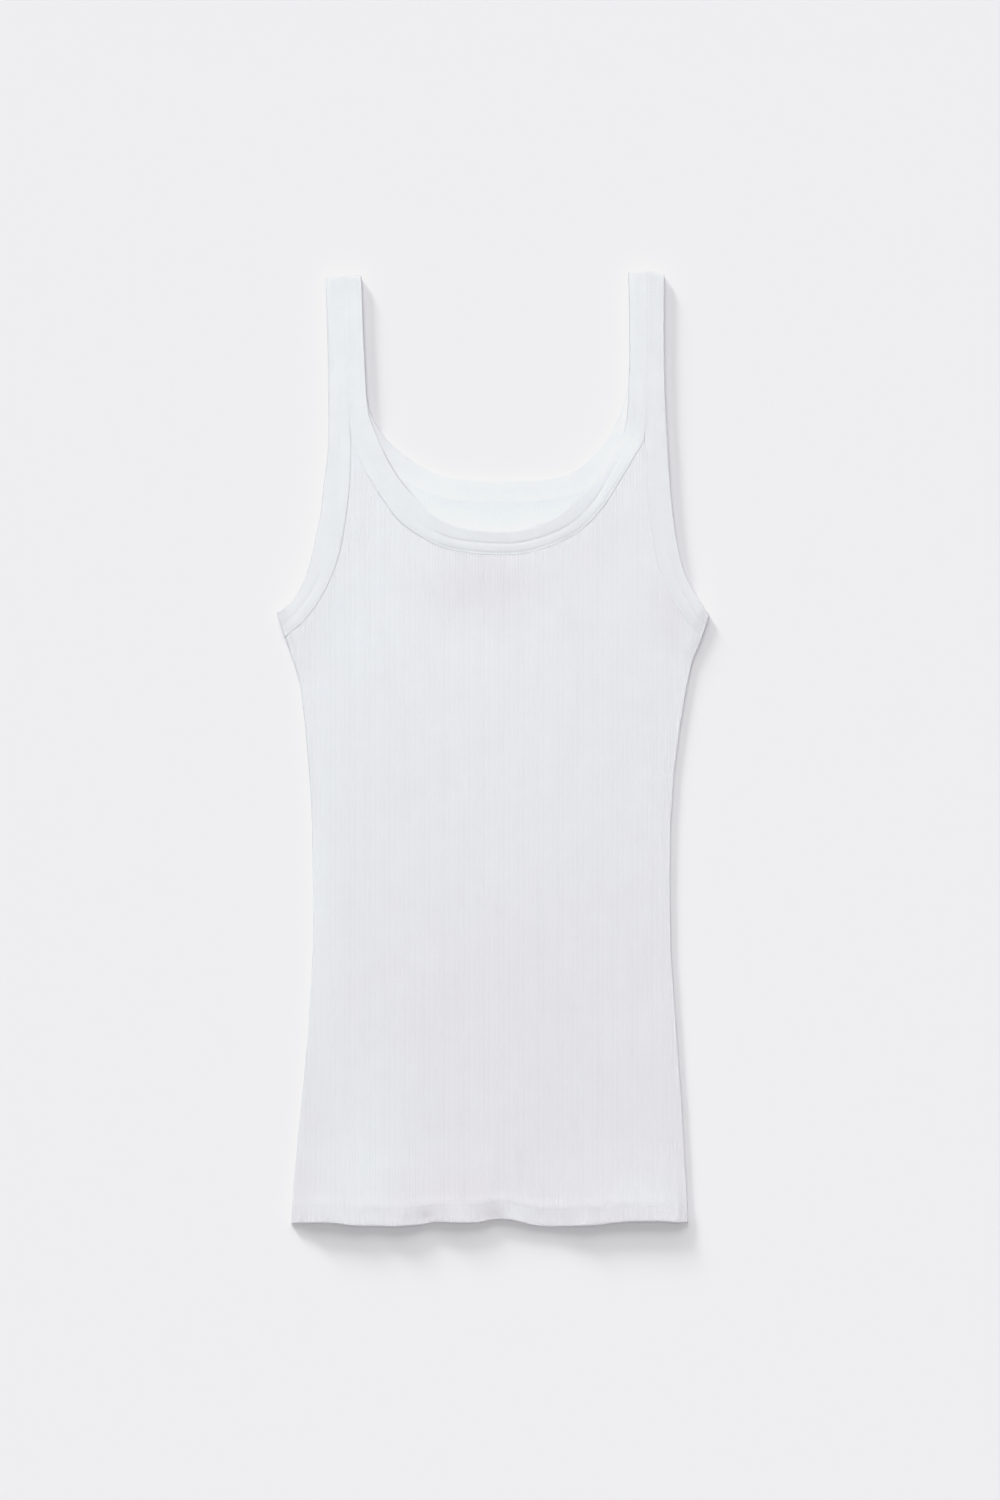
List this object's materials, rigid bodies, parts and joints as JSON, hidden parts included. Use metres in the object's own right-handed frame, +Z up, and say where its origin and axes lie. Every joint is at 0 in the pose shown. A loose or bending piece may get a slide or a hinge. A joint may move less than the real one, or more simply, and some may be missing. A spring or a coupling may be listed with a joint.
{
  "type": "tank top",
  "caption": "Women's ribbed cotton tank top laid flat, with a scooped neck, narrow straps, bound edges and a turned hem.",
  "frame": {"origin": "middle of the garment's plan, on the surface that it lies on", "axes": "+Y towards the shoulders, +X to the right seen from above, +Z up out of the front"},
  "size_m": [0.281, 0.6203, 0.0072],
  "materials": {
    "rib_knit": "matt white cotton in a fine vertical rib",
    "binding_knit": "matt white cotton rib strip, folded and pressed, with two rows of stitching"
  },
  "bodies": {
    "root": {"front_panel": "rib_knit", "back_panel": "rib_knit", "neck_binding": "binding_knit", "left_armhole_binding": "binding_knit", "right_armhole_binding": "binding_knit"}
  },
  "joints": []
}
